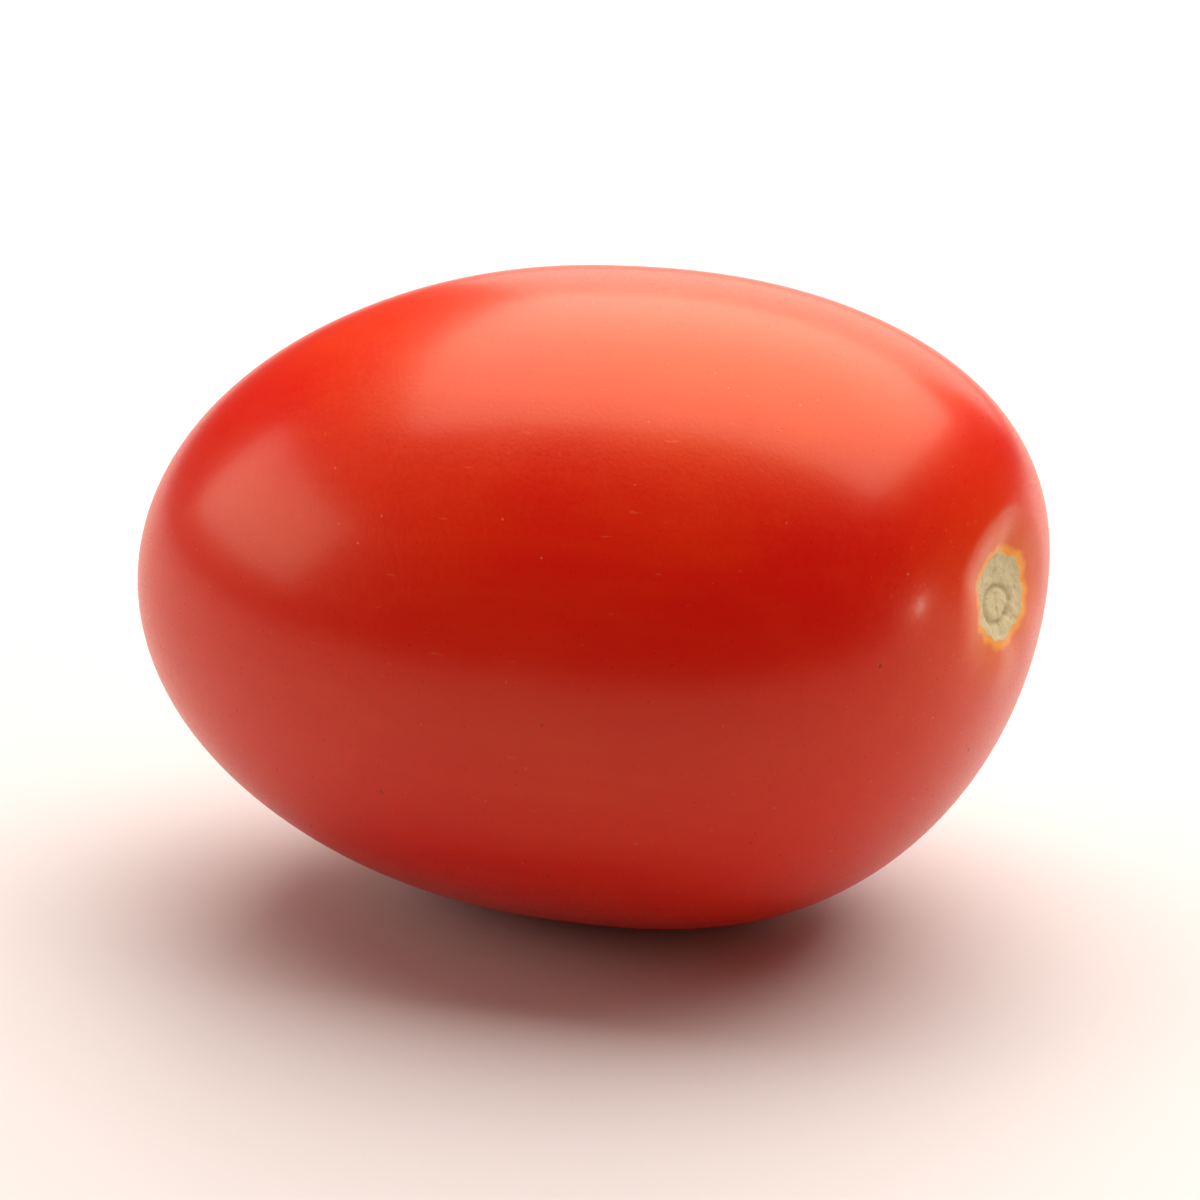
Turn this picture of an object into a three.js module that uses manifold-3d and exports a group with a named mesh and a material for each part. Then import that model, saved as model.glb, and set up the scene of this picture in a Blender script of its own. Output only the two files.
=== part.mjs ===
// A plum tomato, picked, lying on its side on the small flat that its own weight presses into it.
// Millimetres. +Z is up and +X points to the stem end. The origin is on the surface it rests on,
// in the middle of the fruit's length and width. Angles are in degrees.
import * as THREE from 'three';
import { mergeVertices } from 'three/addons/utils/BufferGeometryUtils.js';
import Module from 'manifold-3d';

const wasm = await Module();
wasm.setup();

// The fruit as a whole
const BELLY_DIAMETER = 50;
const SHOULDER_LENGTH = 69.7; // from end to end, before the stem dimple and the blossom point
const STEM_FULLNESS = 2.29; // how blunt an end is: 2 is a plain ellipse, more is fuller
const BLOSSOM_FULLNESS = 2.04;
const TAPER = 0.061; // the stem end is this share thicker than the middle, the blossom end thinner
const LOBE_HEIGHT = 0.25; // each of the three seed chambers swells the skin by this much
const LOBE_COUNT = 3;
const LOBE_TURN = 66; // from +Y towards +Z, the way to the first chamber
const SLANT_UP = 8.8; // the stem end's upper shoulder leans out past the lower one
const SLANT_SIDE = 3.8; // and its +Y shoulder past the -Y one

// The stem end
const SCAR_UP = 4.2; // the scar sits this far off the axis
const SCAR_SIDE = -4.2;
const DIMPLE_DEPTH = 1.2;
const DIMPLE_RADIUS = 7;
const SCAR_TILT = 12; // the dimple is deeper above the scar than below it, which turns the scar upwards
const SCAR_DIAMETER = 6.8;
const SCAR_RECESS = 0.15; // the cork lies this much below the skin around it
const SCAR_EDGE = 0.35; // width of the step from skin to cork
const STALK_MARK_DIAMETER = 2.9; // the ring left by the broken stalk, around a raised button
const STALK_GROOVE_WIDTH = 0.45;
const STALK_GROOVE_DEPTH = 0.2;

// The blossom end
const POINT_HEIGHT = 0.8;
const POINT_RADIUS = 5;

// How it lies
const LEAN = 2; // the stem end is thicker, so it lifts its end of the axis by this much
const REST_FLAT_WIDTH = 10; // across the fruit

// How finely the skin is faceted
const SIDES = 60;
const STATIONS = 34;

const BELLY_RADIUS = BELLY_DIAMETER / 2;
const HALF_LENGTH = SHOULDER_LENGTH / 2;

// Falls smoothly from 1 in the middle to 0 at a distance of 1.
function bell(distance) {
  return distance < 1 ? (1 + Math.cos(Math.PI * distance)) / 2 : 0;
}

// How far the skin stands from the middle of the fruit, at this share of the belly radius.
function reach(share, fullness) {
  return HALF_LENGTH * Math.max(1 - share ** fullness, 0) ** (1 / fullness);
}

// The share of the belly radius at a station, which runs from 0 at the pole to 1 at the belly.
function girth(station, fullness) {
  return Math.sin((station * Math.PI) / 2) ** (2 / fullness);
}

// The radii of the rings that carry the scar's edge and the stalk's groove, from the pole outwards.
function scarRings() {
  const groove = STALK_MARK_DIAMETER / 2;
  const edge = SCAR_DIAMETER / 2;
  return [groove - STALK_GROOVE_WIDTH, groove, groove + STALK_GROOVE_WIDTH, edge - SCAR_EDGE, edge];
}

// One long half of the fruit, as a turner would cut it, from the blossom pole to the stem pole.
function outline() {
  const half = STATIONS / 2;
  const rings = scarRings();
  const points = [];
  for (let i = 0; i <= half; i += 1) {
    const share = i === 0 ? 0 : girth(i / half, BLOSSOM_FULLNESS);
    points.push(new THREE.Vector2(share * BELLY_RADIUS, -reach(share, BLOSSOM_FULLNESS)));
  }
  for (let i = half - 1; i > 0; i -= 1) {
    const share = girth(i / half, STEM_FULLNESS);
    if (share * BELLY_RADIUS < SCAR_DIAMETER / 2 + SCAR_EDGE) break;
    points.push(new THREE.Vector2(share * BELLY_RADIUS, reach(share, STEM_FULLNESS)));
  }
  for (const radius of rings.reverse().concat(0)) {
    points.push(new THREE.Vector2(radius, reach(radius / BELLY_RADIUS, STEM_FULLNESS)));
  }
  return points;
}

// How far the stem end is pressed in, at a place given from the middle of the scar.
function stemHollow(side, up) {
  const distance = Math.hypot(side, up);
  const deeper = Math.tan(THREE.MathUtils.degToRad(SCAR_TILT)) * up;
  const dimple = (DIMPLE_DEPTH + deeper) * bell(distance / DIMPLE_RADIUS);
  const inward = (SCAR_DIAMETER / 2 - distance) / SCAR_EDGE;
  const recess = SCAR_RECESS * Math.min(Math.max(inward, 0), 1);
  const fromGroove = Math.abs(distance - STALK_MARK_DIAMETER / 2);
  const groove = STALK_GROOVE_DEPTH * bell(fromGroove / STALK_GROOVE_WIDTH);
  return dimple + recess + groove;
}

// Moves one point of the turned fruit to where it grew: x along the axis, y to the side, z up.
function grow(point) {
  const distance = Math.hypot(point.y, point.z);
  const stemSide = point.x > 0;
  const slide = stemSide ? (1 - (distance / BELLY_RADIUS) ** 2) ** 2 : 0;
  let side = point.y + SCAR_SIDE * slide;
  let up = point.z + SCAR_UP * slide;
  const share = Math.min(Math.hypot(side, up) / BELLY_RADIUS, 1);
  let along = stemSide ? reach(share, STEM_FULLNESS) : point.x;

  const lobe = Math.cos(LOBE_COUNT * (Math.atan2(up, side) - THREE.MathUtils.degToRad(LOBE_TURN)));
  const swell = (1 + (LOBE_HEIGHT / BELLY_RADIUS) * lobe * share ** 2) * (1 + (TAPER * along) / HALF_LENGTH);
  side *= swell;
  up *= swell;

  if (stemSide) {
    const slantUp = Math.tan(THREE.MathUtils.degToRad(SLANT_UP));
    const slantSide = Math.tan(THREE.MathUtils.degToRad(SLANT_SIDE));
    along += (along / HALF_LENGTH) ** 2 * (slantUp * up + slantSide * side);
    along -= stemHollow(point.y, point.z);
  } else {
    along -= POINT_HEIGHT * bell(distance / POINT_RADIUS) ** 2;
  }
  return point.set(along, side, up);
}

// Joins the points that lie on each other, and drops the faces that closed up at the poles.
function closed(geometry) {
  geometry.deleteAttribute('normal');
  geometry.deleteAttribute('uv');
  const merged = mergeVertices(geometry);
  const corners = merged.index.array;
  const kept = [];
  for (let i = 0; i < corners.length; i += 3) {
    const [a, b, c] = corners.slice(i, i + 3);
    if (a !== b && b !== c && c !== a) kept.push(a, b, c);
  }
  merged.setIndex(kept);
  return merged;
}

// The whole fruit with its axis level, before it is set down.
function fruit() {
  const geometry = new THREE.LatheGeometry(outline(), SIDES);
  geometry.rotateZ(-Math.PI / 2);
  const position = geometry.getAttribute('position');
  const point = new THREE.Vector3();
  for (let i = 0; i < position.count; i += 1) {
    grow(point.fromBufferAttribute(position, i));
    position.setXYZ(i, point.x, point.y, point.z);
  }
  return closed(geometry);
}

function toSolid(geometry) {
  return new wasm.Manifold(new wasm.Mesh({
    numProp: 3,
    vertProperties: new Float32Array(geometry.getAttribute('position').array),
    triVerts: new Uint32Array(geometry.index.array),
  }));
}

function toGeometry(solid) {
  const mesh = solid.getMesh();
  const geometry = new THREE.BufferGeometry();
  geometry.setAttribute('position', new THREE.BufferAttribute(mesh.vertProperties, 3));
  geometry.setIndex(new THREE.BufferAttribute(mesh.triVerts, 1));
  return geometry;
}

// Takes off the sliver under the resting flat, which is as deep as a chord of the belly is.
function cutRestFlat(geometry) {
  const depth = BELLY_RADIUS - Math.sqrt(BELLY_RADIUS ** 2 - (REST_FLAT_WIDTH / 2) ** 2);
  geometry.computeBoundingBox();
  const floor = geometry.boundingBox.min.z + depth;
  const below = new THREE.BoxGeometry(2 * SHOULDER_LENGTH, 2 * BELLY_DIAMETER, BELLY_DIAMETER);
  below.translate(0, 0, floor - BELLY_DIAMETER / 2);
  return toGeometry(toSolid(geometry).subtract(toSolid(closed(below))));
}

// Puts the origin under the middle of the fruit, on the surface it rests on.
function setDown(geometry) {
  geometry.computeBoundingBox();
  const { min, max } = geometry.boundingBox;
  geometry.translate(-(min.x + max.x) / 2, -(min.y + max.y) / 2, -min.z);
  return geometry;
}

function tomato() {
  const geometry = fruit();
  geometry.rotateY(-THREE.MathUtils.degToRad(LEAN));
  const body = setDown(cutRestFlat(geometry));
  body.computeVertexNormals();
  const skin = new THREE.MeshStandardMaterial({ color: '#c3210f', roughness: 0.3, metalness: 0 });
  const mesh = new THREE.Mesh(body, skin);
  mesh.name = 'tomato';
  return mesh;
}

const part = new THREE.Group();
part.add(tomato());

export default part;
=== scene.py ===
"""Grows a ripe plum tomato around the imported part, with its stem scar, dimple and blossom point,
and sets it on a pale table under soft studio light. Lengths are in metres unless a name says mm."""

import math

import bmesh
import bpy
from bpy.props import FloatProperty, FloatVectorProperty, IntProperty, PointerProperty
from mathutils import Matrix, Vector, noise


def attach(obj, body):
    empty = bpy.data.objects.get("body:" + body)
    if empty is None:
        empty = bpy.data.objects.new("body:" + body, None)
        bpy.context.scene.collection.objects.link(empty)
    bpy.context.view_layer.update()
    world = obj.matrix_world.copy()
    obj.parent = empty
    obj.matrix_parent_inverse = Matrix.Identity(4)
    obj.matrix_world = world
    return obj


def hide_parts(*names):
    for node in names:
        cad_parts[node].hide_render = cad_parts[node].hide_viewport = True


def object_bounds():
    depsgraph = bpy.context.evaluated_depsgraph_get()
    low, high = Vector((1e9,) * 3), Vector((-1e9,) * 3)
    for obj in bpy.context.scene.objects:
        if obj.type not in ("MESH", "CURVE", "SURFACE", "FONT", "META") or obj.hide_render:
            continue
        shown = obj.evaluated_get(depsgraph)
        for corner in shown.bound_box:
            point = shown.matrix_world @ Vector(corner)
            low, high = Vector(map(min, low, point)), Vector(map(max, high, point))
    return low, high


bl_info = {
    "name": "Plum tomato",
    "version": (1, 0, 0),
    "blender": (4, 5, 0),
    "location": "3D View > Sidebar > Tomato",
    "description": "Grows a ripe plum tomato and the table and light to look at it",
    "category": "Add Mesh",
}

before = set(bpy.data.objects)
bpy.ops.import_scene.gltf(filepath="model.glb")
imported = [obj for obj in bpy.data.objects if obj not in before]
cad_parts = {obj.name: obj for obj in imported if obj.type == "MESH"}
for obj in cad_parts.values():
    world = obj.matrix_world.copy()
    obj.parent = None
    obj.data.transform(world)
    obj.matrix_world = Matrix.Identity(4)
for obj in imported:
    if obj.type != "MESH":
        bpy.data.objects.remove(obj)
CAD_LOW, CAD_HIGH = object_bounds()
MM = 0.001

# How the skin is made
OUTLINE_SAMPLES = 6000  # points tried along the outline before the rings are chosen from them
RING_SPREAD = 3  # rings reach their coarsest step at one part in this many of the way to the belly
WELD_DISTANCE = 1e-7

# How the small unevenness of the stem end is spread
FOLD_FOOT = 1.2 * MM  # from the scar's edge to where the soft folds stand highest
FOLD_REACH = 4.5 * MM  # and how far they run from there
FOLD_WANDER = 2  # radians by which noise turns the folds
LUMPS_PER_METRE = 950
CRACKS_PER_METRE = 500
CRACKS_AROUND = 4.5
LUMP_SHARE = 0.9  # height of the cork's lumps, where its cracks are 1 deep
RIPPLE_INWARDS = 0.5  # taken off the noise in the scar's outline, which draws it in
RIPPLE_FLATTENING = 0.4  # and taken off at its top and bottom too

# Where each use of noise looks, so that no two of them look alike
BROAD_RIPPLE_PLACE = Vector((3.1, 7.7, 0))
FINE_RIPPLE_PLACE = Vector((9.2, 1.3, 0))
FOLD_PLACE = Vector((4.4, 0, 2))
DENT_PLACE = Vector((5, 2, 8))

# The picture's middle, from the middle of the fruit
CAMERA_AIM = Vector((1.6, 0.3, -0.6)) * MM
SENSOR_WIDTH = 36  # millimetres


# ---------------------------------------------------------------- sizes and colours


def length(name, default_mm, description):
    """A property that holds a length, with its default given in millimetres."""
    return FloatProperty(name=name, description=description, default=default_mm * MM, unit="LENGTH")


def angle(name, default_degrees, description):
    return FloatProperty(
        name=name, description=description, default=math.radians(default_degrees), subtype="ANGLE"
    )


def number(name, default, description):
    return FloatProperty(name=name, description=description, default=default)


def colour(name, default, description):
    return FloatVectorProperty(
        name=name, description=description, default=default, subtype="COLOR", size=3, min=0, max=1
    )


class TomatoSize(bpy.types.PropertyGroup):
    """The fruit's driving dimensions."""

    belly_diameter: length("Belly diameter", 50, "Thickness at the middle")
    shoulder_length: length("Length", 69.7, "End to end, without the dimple and the blossom point")
    stem_fullness: number("Stem fullness", 2.29, "How blunt the stem end is, where 2 is an ellipse")
    blossom_fullness: number("Blossom fullness", 2.04, "How blunt the blossom end is")
    taper: number("Taper", 0.061, "Share by which the stem end is thicker than the middle")
    lobe_height: length("Lobe height", 0.25, "How far each seed chamber swells the skin")
    lobe_count: IntProperty(name="Lobes", description="Number of seed chambers", default=3)
    lobe_turn: angle("Lobe turn", 66, "From +Y towards +Z, the way to the first lobe")
    slant_up: angle("Slant up", 8.8, "How far the upper shoulder leans out past the lower one")
    slant_side: angle("Slant aside", 3.8, "How far the +Y shoulder leans out past the -Y one")
    scar_up: length("Scar up", 4.2, "How far above the axis the stem scar sits")
    scar_side: length("Scar aside", -4.2, "How far to the +Y side of the axis it sits")
    dimple_depth: length("Dimple depth", 1.2, "Of the hollow around the stem scar")
    dimple_radius: length("Dimple radius", 7, "Of the hollow around the stem scar")
    scar_diameter: length("Scar diameter", 6.8, "Of the cork where the stalk broke off")
    scar_tilt: angle("Scar tilt", 12, "How far the scar looks upwards")
    scar_recess: length("Scar recess", 0.15, "How far the cork lies below the skin around it")
    scar_edge: length("Scar edge", 0.35, "Width of the step from skin to cork")
    button_diameter: length("Button diameter", 2.9, "Of the raised mark that the stalk left")
    button_squash: number("Button squash", 1.2, "How many times wider and flatter than round it is")
    button_drop: length("Button drop", 0.65, "How far below the scar's middle the button sits")
    groove_width: length("Groove width", 0.45, "Of the ring around the button, to each side")
    groove_depth: length("Groove depth", 0.2, "Of the ring around the button")
    point_height: length("Point height", 0.8, "Of the tip at the blossom end")
    point_radius: length("Point radius", 5, "Of the tip's foot")
    lean: angle("Lean", 2, "How far the stem end is lifted as the fruit lies")
    flat_width: length("Flat width", 10, "Of the flat it rests on")


class TomatoDetail(bpy.types.PropertyGroup):
    """How finely the fruit is made, and the small unevenness of its surface."""

    sides: IntProperty(name="Sides", description="Facets around the fruit", default=240)
    finest_step: length("Finest step", 0.11, "Between rings on the stem scar")
    coarsest_step: length("Coarsest step", 1.1, "Between rings at the belly")
    dent_height: length("Dents", 0.07, "Of the shallow swells and hollows in the skin")
    dent_spacing: length("Dent spacing", 16, "From one swell to the next")
    pucker_height: length("Puckers", 0.08, "Of the soft folds that run out from the scar")
    pucker_count: IntProperty(name="Puckers", description="Number of soft folds", default=5)
    scar_ripple: number("Scar ripple", 0.05, "Share by which the scar's outline wanders in and out")
    cork_height: length("Cork relief", 0.11, "Of the lumps and cracks in the cork")


class TomatoColours(bpy.types.PropertyGroup):
    """The finishes of the skin and the scar."""

    deep_red: colour("Deep red", (0.68, 0.0014, 0.0006), "Of most of the skin")
    # Bright red also carries painted light: the top of the fruit is turned towards it by height, as
    # if lit from above, besides the truly warmer ends.
    bright_red: colour("Bright red", (0.77, 0.055, 0.001), "Of the warmer upper side and the ends")
    orange: colour("Orange", (0.80, 0.16, 0.008), "Of the skin next to the scar")
    yellow: colour("Yellow", (0.95, 0.41, 0.008), "Of the thin rim around the scar")
    pale_cork: colour("Pale cork", (0.71, 0.67, 0.42), "Of the scar's higher cork")
    dark_cork: colour("Dark cork", (0.26, 0.22, 0.10), "Of the scar's cracks and groove")
    fleck: colour("Fleck", (0.85, 0.30, 0.16), "Of the fine pale flecks in the skin")
    wax: colour("Wax", (1.0, 0.72, 0.38), "That the skin's shine takes on")
    coat: colour("Coat", (1.0, 0.5, 0.2), "Of the wax layer, which warms the skin under it")
    tip_brown: colour("Tip brown", (0.10, 0.035, 0.012), "Of the dry tip at the blossom end")


class TomatoStage(bpy.types.PropertyGroup):
    """The table, the lamps and the camera."""

    camera_turn: angle("Camera turn", 16.7, "Round the fruit, towards its stem end")
    camera_height: angle("Camera height", 21.9, "Above the level of the table")
    camera_distance: length("Camera distance", 600.7, "From the middle of the fruit")
    camera_lens: number("Lens", 237, "Focal length in millimetres")
    table_radius: length("Table radius", 600, "Of the pale table")
    table_clear: length("Table clear", 180, "Distance at which the table starts to fade out")
    table_colour: colour("Table colour", (0.655, 0.66, 0.675), "Of the table")
    lamp_colour: colour("Lamp colour", (1.0, 0.94, 0.86), "Of every lamp")
    top_power: number("Top light", 15.5, "Power of the soft light overhead, in watts")
    back_power: number("Back light", 2.4, "Power of the soft light behind the fruit, in watts")
    side_power: number("Side light", 1.45, "Power of the soft light on the left, in watts")
    glint_power: number("Glint", 0.14, "Power of the small lamp low on the right, in watts")
    room_colour: colour("Room colour", (1.0, 0.44, 0.31), "Of the warm room around the table")
    room_glow: number("Room glow", 0.22, "Brightness of the room around the table")


# ---------------------------------------------------------------- shape of the fruit


def bell(distance):
    """Falls smoothly from 1 in the middle to 0 at a distance of 1."""
    return (1 + math.cos(math.pi * distance)) / 2 if distance < 1 else 0.0


def ease(value):
    """Rises smoothly from 0 to 1 as value does."""
    value = min(max(value, 0.0), 1.0)
    return value * value * (3 - 2 * value)


def reach(size, share, fullness):
    """How far the skin stands from the middle, at this share of the belly radius."""
    return size.shoulder_length / 2 * max(1 - share**fullness, 0) ** (1 / fullness)


def outline_point(size, station):
    """A point on the outline. Station runs from -1 at the blossom pole to 1 at the stem pole."""
    fullness = size.stem_fullness if station > 0 else size.blossom_fullness
    share = math.cos(abs(station) * math.pi / 2) ** (2 / fullness)
    along = math.copysign(reach(size, share, fullness), station)
    return Vector((along, share * size.belly_diameter / 2, 0))


def ring_spacing(size, detail, point):
    """Rings lie close together on the stem scar and spread out towards the belly."""
    margin = size.scar_diameter if point.x > 0 else 0.0
    away = max(point.y - margin, 0.0) / (size.belly_diameter / 2 - margin)
    spread = min(RING_SPREAD * away, 1.0)
    return detail.finest_step + (detail.coarsest_step - detail.finest_step) * spread


def outline(size, detail):
    """Half of the turned fruit's outline, from pole to pole."""
    start = outline_point(size, -1)
    start.y = 0
    kept = [start]
    for i in range(1, OUTLINE_SAMPLES):
        point = outline_point(size, 2 * i / OUTLINE_SAMPLES - 1)
        if (point - kept[-1]).length >= ring_spacing(size, detail, point):
            kept.append(point)
    end = outline_point(size, 1)
    end.y = 0
    kept[-1] = end
    return kept


def turned_body(size, detail):
    """Spins the outline round the fruit's axis into one closed skin."""
    body = bmesh.new()
    verts = [body.verts.new(point) for point in outline(size, detail)]
    edges = [body.edges.new(pair) for pair in zip(verts, verts[1:])]
    bmesh.ops.spin(
        body, geom=verts + edges, cent=(0, 0, 0), axis=(1, 0, 0), dvec=(0, 0, 0),
        angle=2 * math.pi, steps=detail.sides, use_merge=True, use_duplicate=False,
    )
    bmesh.ops.remove_doubles(body, verts=body.verts, dist=WELD_DISTANCE)
    bmesh.ops.recalc_face_normals(body, faces=body.faces)
    return body


def around(side, up):
    """A point on a unit circle in the direction of side and up, for noise that closes on itself."""
    distance = max(math.hypot(side, up), 1e-9)
    return Vector((side / distance, up / distance, 0))


def scar_radius(size, detail, side, up):
    """The scar's outline is a little angular, so its radius changes as it goes round."""
    way = around(side, up)
    broad = noise.noise(way * 1.3 + BROAD_RIPPLE_PLACE)
    fine = noise.noise(way * 4 + FINE_RIPPLE_PLACE)
    wander = 0.5 * broad + fine - RIPPLE_INWARDS - RIPPLE_FLATTENING * way.y**2
    return size.scar_diameter / 2 * (1 + 2 * detail.scar_ripple * wander)


def from_groove(size, side, up):
    """How far a place on the scar is from the middle of the groove around the button."""
    width = size.button_squash
    squashed = Vector((side / width, (up + size.button_drop) * width))
    return abs(squashed.length - size.button_diameter / 2)


def stem_hollow(size, detail, side, up):
    """How far the stem end is pressed in, at a place given from the middle of the scar."""
    distance = math.hypot(side, up)
    depth = size.dimple_depth + math.tan(size.scar_tilt) * up
    dimple = depth * bell(distance / size.dimple_radius)
    edge = scar_radius(size, detail, side, up)
    on_cork = ease((edge - distance) / size.scar_edge)
    groove = size.groove_depth * bell(from_groove(size, side, up) / size.groove_width)
    turn = math.atan2(up, side)
    wander = FOLD_WANDER * noise.noise(around(side, up) + FOLD_PLACE)
    folds = math.cos(detail.pucker_count * turn + wander)
    fade = bell(abs(distance - edge - FOLD_FOOT) / FOLD_REACH)
    lumps = noise.fractal(Vector((side, up, 0)) * LUMPS_PER_METRE, 0.7, 2.1, 5)
    inwards = Vector((0, 0, distance * CRACKS_PER_METRE))
    cracks = abs(noise.noise(around(side, up) * CRACKS_AROUND + inwards))
    uneven = detail.cork_height * (LUMP_SHARE * lumps - cracks)
    relief = on_cork * (size.scar_recess + groove + uneven)
    return dimple + relief + detail.pucker_height * folds * fade * (1 - on_cork)


def grow(size, detail, point):
    """Moves a point of the turned fruit to where it grew."""
    belly = size.belly_diameter / 2
    half = size.shoulder_length / 2
    along, side, up = point
    distance = math.hypot(side, up)
    stem_side = along > 0
    slide = (1 - (distance / belly) ** 2) ** 2 if stem_side else 0.0
    grown_side = side + size.scar_side * slide
    grown_up = up + size.scar_up * slide
    share = min(math.hypot(grown_side, grown_up) / belly, 1.0)
    if stem_side:
        along = reach(size, share, size.stem_fullness)
    lobe = math.cos(size.lobe_count * (math.atan2(grown_up, grown_side) - size.lobe_turn))
    swell = (1 + size.lobe_height / belly * lobe * share**2) * (1 + size.taper * along / half)
    grown_side *= swell
    grown_up *= swell
    if stem_side:
        slant = math.tan(size.slant_up) * grown_up + math.tan(size.slant_side) * grown_side
        along += (along / half) ** 2 * slant - stem_hollow(size, detail, side, up)
    else:
        along -= size.point_height * bell(distance / size.point_radius) ** 2
    place = Vector((along, grown_side, grown_up))
    dents = detail.dent_height * noise.noise(place / detail.dent_spacing + DENT_PLACE)
    return place + place.normalized() * dents


def lay_down(body, size):
    """Tips the fruit to its lean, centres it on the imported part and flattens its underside."""
    lean = Matrix.Rotation(-size.lean, 3, "Y")
    bmesh.ops.rotate(body, verts=body.verts, cent=(0, 0, 0), matrix=lean)
    low = Vector([min(vert.co[axis] for vert in body.verts) for axis in range(3)])
    high = Vector([max(vert.co[axis] for vert in body.verts) for axis in range(3)])
    belly = size.belly_diameter / 2
    sunk = belly - math.sqrt(belly**2 - (size.flat_width / 2) ** 2)
    middle = (CAD_LOW + CAD_HIGH) / 2
    shift = Vector((
        middle.x - (low.x + high.x) / 2,
        middle.y - (low.y + high.y) / 2,
        CAD_LOW.z - low.z - sunk,
    ))
    bmesh.ops.translate(body, verts=body.verts, vec=shift)
    for vert in body.verts:
        vert.co.z = max(vert.co.z, CAD_LOW.z)


def fruit_mesh(size, detail):
    """The whole fruit, with the places its material needs kept on its points."""
    body = turned_body(size, detail)
    turned = body.verts.layers.float_vector.new("turned")
    past_scar = body.verts.layers.float.new("past_scar")
    past_groove = body.verts.layers.float.new("past_groove")
    for vert in body.verts:
        along, side, up = vert.co
        vert[turned] = vert.co / MM
        edge = scar_radius(size, detail, side, up) / MM
        away = math.hypot(side, up) / MM - edge
        vert[past_scar] = away if along > 0 else size.belly_diameter / MM
        vert[past_groove] = from_groove(size, side, up) / MM
        vert.co = grow(size, detail, vert.co)
    lay_down(body, size)
    for face in body.faces:
        face.smooth = True
    mesh = bpy.data.meshes.new("plum_tomato")
    body.to_mesh(mesh)
    body.free()
    return mesh


# ---------------------------------------------------------------- materials


class Term:
    """A value in a material, so that shader maths reads as an expression."""

    def __init__(self, shader, socket):
        self.shader = shader
        self.socket = socket

    def maths(self, operation, *values):
        sockets = dict(enumerate(values))
        return self.shader.value("ShaderNodeMath", {"operation": operation}, sockets)

    def __add__(self, other):
        return self.maths("ADD", self, other)

    def __radd__(self, other):
        return self.maths("ADD", other, self)

    def __sub__(self, other):
        return self.maths("SUBTRACT", self, other)

    def __rsub__(self, other):
        return self.maths("SUBTRACT", other, self)

    def __mul__(self, other):
        return self.maths("MULTIPLY", self, other)

    def __rmul__(self, other):
        return self.maths("MULTIPLY", other, self)

    def __pow__(self, other):
        return self.maths("POWER", self, other)

    def above(self, level):
        """1 where the value is over the level, or else 0."""
        return self.maths("GREATER_THAN", self, level)

    def rise(self, low, high):
        """0 below low, 1 above high and smooth between them."""
        settings = {"interpolation_type": "SMOOTHSTEP"}
        sockets = {"Value": self, "From Min": low, "From Max": high}
        return self.shader.value("ShaderNodeMapRange", settings, sockets)


class Shader:
    """Makes the nodes of one material or of the world."""

    def __init__(self, owner):
        owner.use_nodes = True
        self.tree = owner.node_tree
        self.tree.nodes.clear()

    def node(self, kind, settings, sockets):
        """One node: its settings are set first, then the values or links of its sockets."""
        made = self.tree.nodes.new(kind)
        for name, setting in settings.items():
            setattr(made, name, setting)
        for name, value in sockets.items():
            if isinstance(value, Term):
                value = value.socket
            if isinstance(value, bpy.types.NodeSocket):
                self.tree.links.new(value, made.inputs[name])
            else:
                made.inputs[name].default_value = value
        return made

    def value(self, kind, settings, sockets, output=0):
        return Term(self, self.node(kind, settings, sockets).outputs[output])

    def mix(self, factor, first, second):
        """A colour that turns from first to second as factor rises."""
        sockets = {0: factor, 6: first, 7: second}
        return self.value("ShaderNodeMix", {"data_type": "RGBA"}, sockets, output=2)

    def noise(self, vector, scale, detail=2.0, roughness=0.5):
        sockets = {"Vector": vector, "Scale": scale, "Detail": detail, "Roughness": roughness}
        return self.value("ShaderNodeTexNoise", {}, sockets)

    def stretch(self, vector, amounts):
        """The vector with each part multiplied by its own amount."""
        sockets = {0: vector, 1: amounts}
        return self.value("ShaderNodeVectorMath", {"operation": "MULTIPLY"}, sockets)

    def dots(self, vector, spacing, radius, share):
        """1 inside small round dots: one to every spacing, of which only this share is there."""
        cells = {"Vector": vector, "Scale": 1 / spacing}
        made = self.node("ShaderNodeTexVoronoi", {}, cells)
        away = Term(self, made.outputs["Distance"])
        lot = self.parts(made.outputs["Color"])[0]
        return (1 - away.rise(radius / spacing * 0.4, radius / spacing)) * (1 - lot.above(share))

    def attribute(self, name, output):
        """What the mesh keeps on its points under this name."""
        return self.value("ShaderNodeAttribute", {"attribute_name": name}, {}, output)

    def parts(self, vector):
        made = self.node("ShaderNodeSeparateXYZ", {}, {"Vector": vector})
        return [Term(self, output) for output in made.outputs]


def opaque(shade):
    return (*shade, 1.0)


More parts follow.
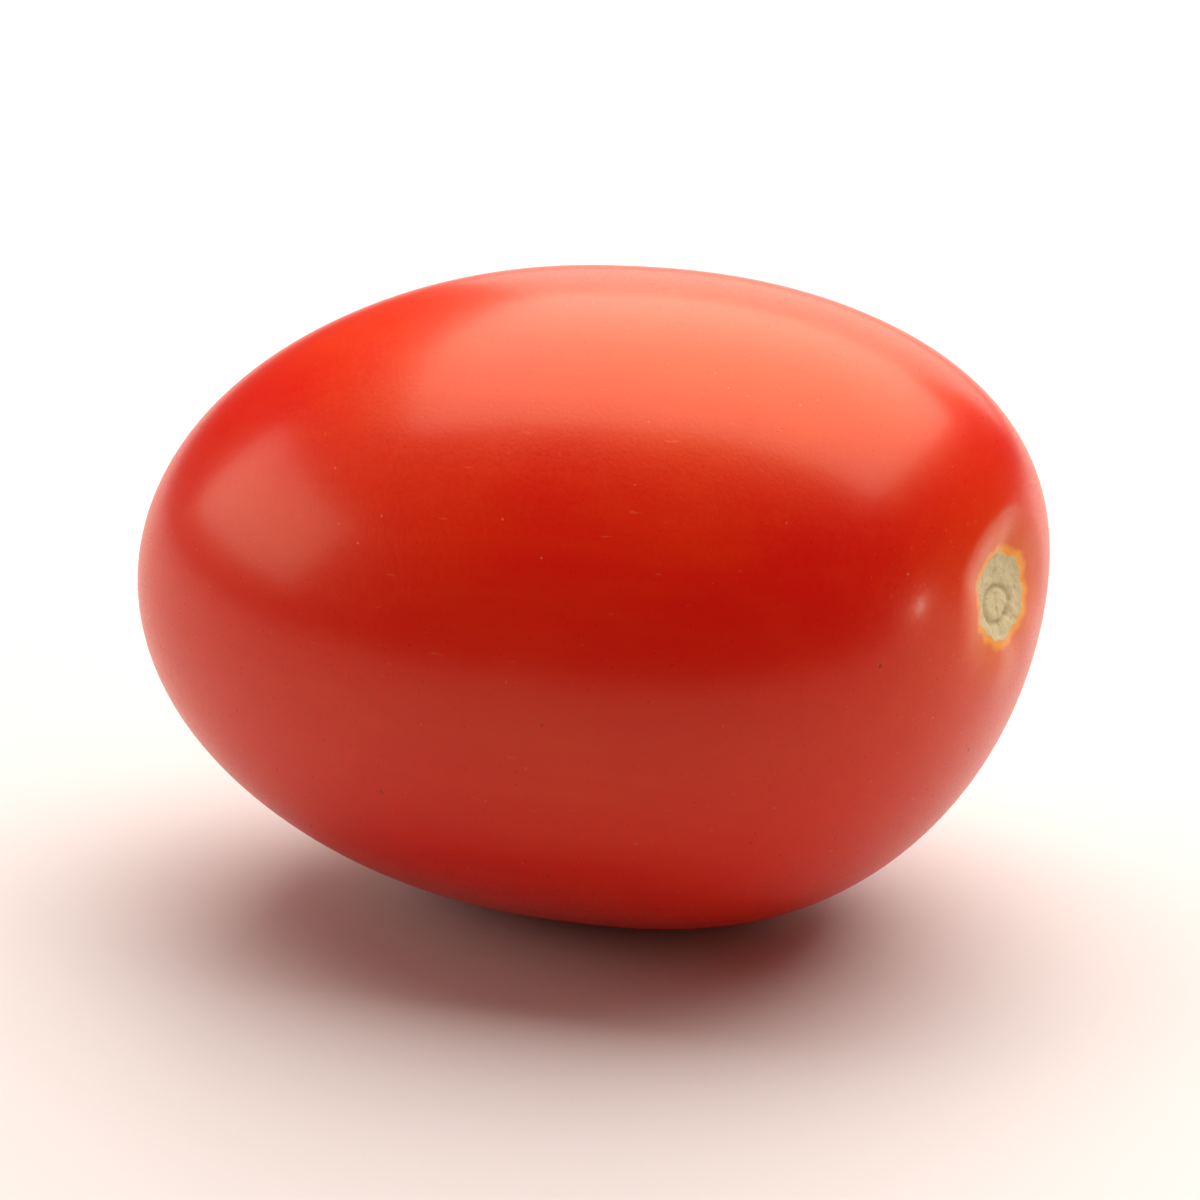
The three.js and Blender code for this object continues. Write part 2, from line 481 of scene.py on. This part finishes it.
def skin_material(size, colours):
    """Waxy red skin that turns orange and yellow around a dull corky scar."""
    material = bpy.data.materials.new("ripe_skin_and_cork")
    shader = Shader(material)
    place = shader.value("ShaderNodeTexCoord", {}, {}, output="Object")
    place = shader.stretch(place, (1 / MM,) * 3)
    turned = shader.attribute("turned", "Vector")
    past_scar = shader.attribute("past_scar", "Fac")
    past_groove = shader.attribute("past_groove", "Fac")
    along, side, up = shader.parts(turned)
    distance = (side * side + up * up) ** 0.5
    half = size.shoulder_length / 2 / MM

    patches = shader.noise(place, 0.055, 3.0)
    streaks = shader.noise(shader.stretch(turned, (0.03, 0.5, 0.5)), 1.0, 4.0, 0.6)
    grain = shader.noise(place, 3.2, 3.0, 0.6)
    _east, _north, height = shader.parts(place)
    # Painted light: the top of the fruit turns towards bright red by its height, as if lit from
    # above, and noise blurs where that starts.
    upper = (height + (patches - 0.5) * 20).rise(36, 51)
    # This mix holds the painted top light together with random warm patches and streaks, and the
    # warmer ends are added below.
    warmth_and_painted_top_light = upper * 0.6 + patches.rise(0.42, 0.7) * 0.15 + streaks.rise(0.4, 0.75) * 0.12
    end_warmth = 1 - past_scar.rise(0.5, 11.0) + (1 - (along + half).rise(0.0, 5.0)) * 0.6
    warmth_and_painted_top_light = warmth_and_painted_top_light + end_warmth * 0.55
    skin = shader.mix(warmth_and_painted_top_light, opaque(colours.deep_red), opaque(colours.bright_red))

    flecks = shader.dots(place, 1.6, 0.13, 0.4)
    freckles = shader.dots(place, 0.55, 0.12, 0.6) * (1 - past_scar.rise(2.0, 14.0))
    scuffs = shader.noise(shader.stretch(turned, (0.45, 3.6, 3.6)), 1.0, 1.0).rise(0.74, 0.80)
    marks = (flecks * 0.45 + freckles * 0.3 + scuffs * 0.2) * patches.rise(0.3, 0.6)
    skin = shader.mix(marks, skin, opaque(colours.fleck))
    pits = shader.dots(place, 4.5, 0.22, 0.3)
    skin = shader.mix(pits * 0.6, skin, opaque(colours.tip_brown))

    jags = shader.noise(turned, 1.9, 2.0, 0.5) - 0.5
    rim = past_scar + jags * 0.5
    skin = shader.mix((1 - rim.rise(0.2, 4.2)) * 0.75, skin, opaque(colours.orange))
    skin = shader.mix(1 - rim.rise(0.2, 0.9), skin, opaque(colours.yellow))

    lumps = shader.noise(turned, 1.6, 6.0, 0.7)
    speckle = shader.noise(turned, 5.0, 3.0, 0.7)
    groove = 1 - past_groove.rise(0.05, 0.35)
    darkness = lumps.rise(0.5, 0.78) * 0.6 + speckle.rise(0.56, 0.75) * 0.4 + groove * 0.35
    cork = shader.mix(darkness, opaque(colours.pale_cork), opaque(colours.dark_cork))
    on_cork = 1 - (past_scar + jags * 0.35).rise(-0.12, 0.12)
    tone = shader.mix(on_cork, skin, cork)

    tip = (1 - distance.rise(0.25, 0.7)) * (1 - along.rise(-half, -half + 5))
    tone = shader.mix(tip, tone, opaque(colours.tip_brown))

    roughness = 0.33 + (grain - 0.5) * 0.3 + marks * 0.2 + on_cork * 0.5
    swells = grain * 0.8 - pits * 3 + speckle * on_cork * 3 + lumps * on_cork * 3
    bump = {"Height": swells, "Strength": 0.55, "Distance": 0.03 * MM}
    normal = shader.value("ShaderNodeBump", {}, bump)
    finish = {
        "Base Color": tone, "Roughness": roughness, "Normal": normal, "IOR": 1.45,
        "Specular Tint": opaque(colours.wax), "Specular IOR Level": 0.75,
        "Coat Weight": (1 - on_cork) * 0.22, "Coat Roughness": 0.17,
        "Coat Tint": opaque(colours.coat),
        "Subsurface Weight": 0.12, "Subsurface Radius": (1.0, 0.25, 0.1),
        "Subsurface Scale": 2.5 * MM,
    }
    surface = shader.node("ShaderNodeBsdfPrincipled", {}, finish)
    shader.node("ShaderNodeOutputMaterial", {}, {"Surface": surface.outputs[0]})
    return material


def table_material(stage):
    """A pale table top that fades out before its edge."""
    material = bpy.data.materials.new("pale_table")
    shader = Shader(material)
    place = shader.value("ShaderNodeTexCoord", {}, {}, output="Object")
    away = shader.value("ShaderNodeVectorMath", {"operation": "LENGTH"}, {0: place}, output="Value")
    fade = away.rise(stage.table_clear, stage.table_radius * 0.95)
    finish = {"Base Color": opaque(stage.table_colour), "Roughness": 0.6}
    top = shader.node("ShaderNodeBsdfPrincipled", {}, finish)
    clear = shader.node("ShaderNodeBsdfTransparent", {}, {})
    sockets = {0: fade, 1: top.outputs[0], 2: clear.outputs[0]}
    mixed = shader.node("ShaderNodeMixShader", {}, sockets)
    shader.node("ShaderNodeOutputMaterial", {}, {"Surface": mixed.outputs[0]})
    return material


# ---------------------------------------------------------------- operators


def link(name, data):
    made = bpy.data.objects.new(name, data)
    bpy.context.scene.collection.objects.link(made)
    return made


class TOMATO_OT_grow(bpy.types.Operator):
    """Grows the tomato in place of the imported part's plain solid"""

    bl_idname = "tomato.grow"
    bl_label = "Grow the tomato"

    def execute(self, context):
        scene = context.scene
        fruit = link("plum_tomato", fruit_mesh(scene.tomato_size, scene.tomato_detail))
        fruit.data.materials.append(skin_material(scene.tomato_size, scene.tomato_colours))
        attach(fruit, "root")
        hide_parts("tomato")
        return {"FINISHED"}


def from_camera(stage, right, away, up):
    """A place given as the camera sees it: to the right, away and up from the fruit's foot."""
    turn = stage.camera_turn
    across = Vector((math.cos(turn), math.sin(turn), 0)) * right
    return across + Vector((-math.sin(turn), math.cos(turn), 0)) * away + Vector((0, 0, up))


# Each lamp: its name, its place as from_camera takes it, its width and height, what it faces, and
# the property that holds its power.
LAMPS = (
    ("top_softbox", (0.21, 0.42, 0.65), (1.15, 1.1), "table", "top_power"),
    ("back_softbox", (0.22, 1.0, 0.33), (0.75, 0.66), "fruit", "back_power"),
    ("side_softbox", (-0.68, 0.12, 0.27), (0.6, 0.32), "fruit", "side_power"),
    ("glint_lamp", (0.55, -0.22, 0.03), (0.012, 0.04), "fruit", "glint_power"),
)


def add_lamp(stage, name, place, target, lamp_size, power):
    """A soft rectangular light that the camera doesn't see."""
    data = bpy.data.lights.new(name, "AREA")
    data.color = stage.lamp_colour
    data.shape = "RECTANGLE"
    data.size, data.size_y = lamp_size
    data.energy = power
    lamp = link(name, data)
    lamp.location = place
    lamp.rotation_euler = (target - place).to_track_quat("-Z", "Y").to_euler()
    lamp.visible_camera = False


def light_room(stage):
    """The world: white to look at, but a dim room to the fruit."""
    world = bpy.data.worlds.new("studio")
    bpy.context.scene.world = world
    shader = Shader(world)
    seen = shader.value("ShaderNodeLightPath", {}, {}, output="Is Camera Ray")
    shade = shader.mix(seen, opaque(stage.room_colour), (1, 1, 1, 1))
    strength = stage.room_glow + seen * (1.0 - stage.room_glow)
    backdrop = shader.node("ShaderNodeBackground", {}, {"Color": shade, "Strength": strength})
    shader.node("ShaderNodeOutputWorld", {}, {"Surface": backdrop.outputs[0]})


class TOMATO_OT_stage(bpy.types.Operator):
    """Sets the table, the lamps and the camera"""

    bl_idname = "tomato.stage"
    bl_label = "Set the stage"

    def execute(self, context):
        stage = context.scene.tomato_stage
        middle = (CAD_LOW + CAD_HIGH) / 2
        self.lay_table(stage)
        for name, offset, lamp_size, faces, power in LAMPS:
            place = from_camera(stage, *offset)
            straight_down = place - Vector((0, 0, 1))
            target = straight_down if faces == "table" else middle
            add_lamp(stage, name, place, target, lamp_size, getattr(stage, power))
        light_room(stage)
        self.place_camera(context.scene, stage, middle)
        context.scene.view_settings.view_transform = "Standard"
        return {"FINISHED"}

    def lay_table(self, stage):
        disc = bmesh.new()
        bmesh.ops.create_circle(disc, cap_ends=True, segments=96, radius=stage.table_radius)
        mesh = bpy.data.meshes.new("table_top")
        disc.to_mesh(mesh)
        disc.free()
        table = link("table_top", mesh)
        mesh.materials.append(table_material(stage))

    def place_camera(self, scene, stage, middle):
        aim = middle + CAMERA_AIM
        level = math.cos(stage.camera_height)
        back = Vector((
            math.sin(stage.camera_turn) * level,
            -math.cos(stage.camera_turn) * level,
            math.sin(stage.camera_height),
        ))
        data = bpy.data.cameras.new("camera")
        data.lens = stage.camera_lens
        data.sensor_width = SENSOR_WIDTH
        camera = link("camera", data)
        camera.location = aim + back * stage.camera_distance
        camera.rotation_euler = (-back).to_track_quat("-Z", "Y").to_euler()
        data.clip_start = 0.01
        data.clip_end = 20
        scene.camera = camera


class TOMATO_PT_sidebar(bpy.types.Panel):
    """Lists the fruit's sizes and colours, and the stage"""

    bl_label = "Plum tomato"
    bl_idname = "TOMATO_PT_sidebar"
    bl_space_type = "VIEW_3D"
    bl_region_type = "UI"
    bl_category = "Tomato"

    def draw(self, context):
        for title, name, _group in GROUPS:
            box = self.layout.box()
            box.label(text=title)
            group = getattr(context.scene, name)
            for field in group.bl_rna.properties:
                if not field.is_readonly and field.identifier != "name":
                    box.prop(group, field.identifier)
        self.layout.operator(TOMATO_OT_grow.bl_idname)
        self.layout.operator(TOMATO_OT_stage.bl_idname)


GROUPS = (
    ("Size", "tomato_size", TomatoSize),
    ("Detail", "tomato_detail", TomatoDetail),
    ("Colours", "tomato_colours", TomatoColours),
    ("Stage", "tomato_stage", TomatoStage),
)
CLASSES = (
    TomatoSize, TomatoDetail, TomatoColours, TomatoStage,
    TOMATO_OT_grow, TOMATO_OT_stage, TOMATO_PT_sidebar,
)


def register():
    for cls in CLASSES:
        bpy.utils.register_class(cls)
    for _title, name, group in GROUPS:
        setattr(bpy.types.Scene, name, PointerProperty(type=group))


def unregister():
    for _title, name, _group in GROUPS:
        delattr(bpy.types.Scene, name)
    for cls in reversed(CLASSES):
        bpy.utils.unregister_class(cls)


def main():
    register()
    bpy.ops.tomato.grow()
    bpy.ops.tomato.stage()


if __name__ == "__main__":
    main()
